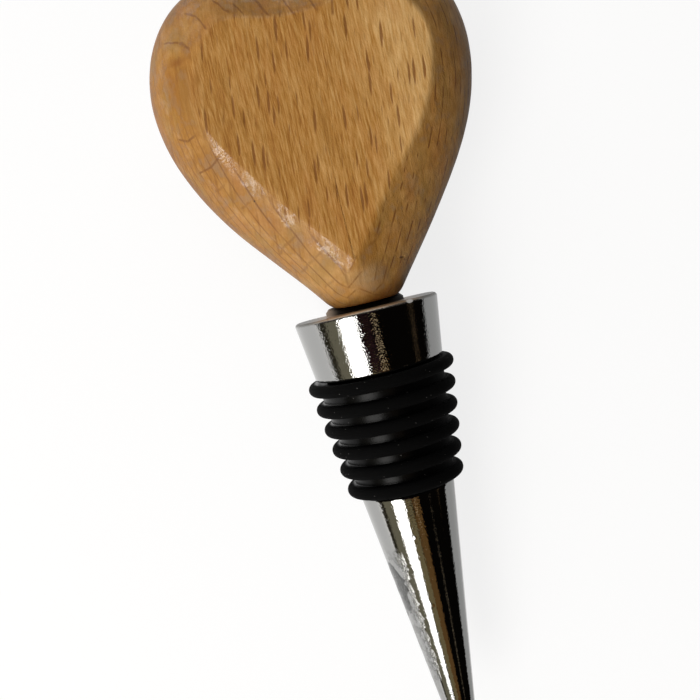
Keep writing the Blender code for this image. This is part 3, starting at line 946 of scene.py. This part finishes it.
def buildFloor():
    half = studio["floorSize"] / 2
    corners = [(-half, -half, 0), (half, -half, 0), (half, half, 0), (-half, half, 0)]
    floor = meshObject("floor", corners, [(0, 1, 2, 3)])
    f = Finish("white_floor")
    grey = studio["floorGrey"]
    paths = f.node("ShaderNodeLightPath", {}, {})
    seen = Number(f, paths.outputs[seenRays[0]])
    for ray in seenRays[1:]:
        seen = seen.atLeast(Number(f, paths.outputs[ray]))
    # the lift grows to plain white where the lamps no longer reach; x and y are in metres
    x, y = f.axes(f.place((mm, mm, mm)))[:2]
    far = f.step((x * x + y * y) ** 0.5, *studio["lampReach"])
    lift = seen * (far * (1 - studio["floorLift"]) + studio["floorLift"])
    white = f.surface(
        Base_Color=(grey, grey, grey), Roughness=0.9, Specular_IOR_Level=0.1,
        Emission_Color=f.join(lift, lift, lift), Emission_Strength=1.0,
    )
    floor.data.materials.append(white)


def buildWorld():
    # a dim room, plain white where the camera looks past the floor
    world = bpy.data.worlds.new("dim_room")
    world.use_nodes = True
    room = Shading(world.node_tree)
    paths = room.node("ShaderNodeLightPath", {}, {})
    colour = studio["worldColour"]
    for ray in seenRays:
        colour = room.mix(paths.outputs[ray], colour, (1.0, 1.0, 1.0))
    room.feed(world.node_tree.nodes["Background"].inputs[0], colour)
    bpy.context.scene.world = world


def hiddenGlow(obj, finishName, glow):
    # unseen by the camera and without a shadow, there only for what the shiny pieces mirror
    f = Finish(finishName)
    dark = (0.0, 0.0, 0.0)
    f.surface(Base_Color=dark, Specular_IOR_Level=0.0, Emission_Color=glow, Emission_Strength=1.0)
    obj.data.materials.append(f.material)
    obj.visible_camera = obj.visible_diffuse = obj.visible_shadow = False


def buildTent():
    # a dark tent round the set, which the chrome mirrors as a dim room: a half ball with
    # x = r cos e sin a, y = r cos e cos a, z = r sin e
    r, rows, columns = studio["tentRadius"], studio["tentRows"], studio["tentColumns"]
    rise = np.linspace(0, math.pi / 2, rows + 1)[:-1, None]
    angle = np.linspace(0, math.tau, columns, endpoint=False)[None, :]
    reach = r * np.cos(rise)
    parts = [reach * np.sin(angle), reach * np.cos(angle), r * np.sin(rise) + 0 * angle]
    points = np.stack(parts, 2).reshape(-1, 3)
    topRing = np.arange(columns) + (rows - 1) * columns
    faces = gridFaces(rows, columns, False, True).tolist() + poleFaces(len(points), topRing, False).tolist()
    tent = meshObject("dark_tent", points.tolist() + [(0, 0, r)], faces)
    hiddenGlow(tent, "black_cloth", studio["worldColour"])


def buildCards():
    # a grey sheet that lies on the shadow side, a painted shadow of the floor that glows grey where the
    # shiny pieces mirror it, and a black card that stands at its end
    s = studio
    half, near, far, foot, top = (s["card" + part] for part in ("Half", "Near", "Far", "Foot", "Top"))
    lying = [(near, -half, foot), (far, -half, foot), (far, half, foot), (near, half, foot)]
    standing = [(far, -half, foot), (far, half, foot), (far, half, top), (far, -half, top)]
    hiddenGlow(meshObject("mirrored_floor_shadow", lying, [(0, 1, 2, 3)]), "painted_floor_shadow", (s["cardShadowGrey"],) * 3)
    hiddenGlow(meshObject("black_card", standing, [(0, 1, 2, 3)]), "black_paper_card", s["worldColour"])


def addLamp(name):
    # a soft box that faces the collar; power = radiance x area x pi
    way, distance, width, length, radiance, colour, mirrored = lamps[name]
    lamp = bpy.data.lights.new(name, "AREA")
    rounded = name == "window"
    lamp.shape, lamp.size, lamp.size_y = "ELLIPSE" if rounded else "RECTANGLE", width, length
    lamp.energy = radiance * width * length * math.pi * (math.pi / 4 if rounded else 1)
    lamp.color = colour
    obj = bpy.data.objects.new(name, lamp)
    obj.visible_camera, obj.visible_glossy = False, mirrored
    bpy.context.scene.collection.objects.link(obj)
    way = Vector(way).normalized()
    lengthWay = Vector((0, 1, 0)) - way * way.y
    lengthWay.normalize()
    sideWay = lengthWay.cross(way)
    turn = Matrix((sideWay, lengthWay, way)).transposed().to_4x4()
    obj.matrix_world = Matrix.Translation(Vector(collarPlace) + way * distance) @ turn


photoView = {
    "focalPixels": 1100.0, "framePixels": 700, "distance": 162.5, "tiltDegrees": 6.0,
    "rollDegrees": 13.5, "collarAt": (365.3, 308.0),
}


def buildCamera():
    # looks down on the stopper, tilted towards the heart and rolled, with the middle
    # of the collar's top at its place in the photograph
    v = photoView
    tilt, roll = math.radians(v["tiltDegrees"]), math.radians(v["rollDegrees"])
    back = Vector((0, math.sin(tilt), math.cos(tilt)))
    level, up = Vector((1, 0, 0)), Vector((0, math.cos(tilt), -math.sin(tilt)))
    right = level * math.cos(roll) - up * math.sin(roll)
    top = level * math.sin(roll) + up * math.cos(roll)
    scale = v["distance"] * mm / v["focalPixels"]
    aside = (v["collarAt"][0] - v["framePixels"] / 2) * scale
    above = -(v["collarAt"][1] - v["framePixels"] / 2) * scale
    collar = Vector(collarPlace)
    data = bpy.data.cameras.new("photo_camera")
    data.sensor_fit, data.sensor_width = "HORIZONTAL", 36
    data.lens = v["focalPixels"] * data.sensor_width / v["framePixels"]
    data.clip_start, data.clip_end = 0.01, 10
    camera = bpy.data.objects.new("photo_camera", data)
    bpy.context.scene.collection.objects.link(camera)
    turn = Matrix((right, top, back)).transposed().to_4x4()
    place = collar - right * aside - top * above + back * v["distance"] * mm
    camera.matrix_world = Matrix.Translation(place) @ turn
    bpy.context.scene.camera = camera


buildCamera()
buildFloor()
buildWorld()
buildTent()
buildCards()
for lampName in lamps:
    addLamp(lampName)
print("stage: camera, floor and lamps")
buildBody()
print("stage: metal body")
buildSleeve()
print("stage: rubber sleeve")
buildStud()
print("stage: stud")
buildHeart()
print("stage: heart")

bpy.context.scene.view_settings.view_transform = "Standard"
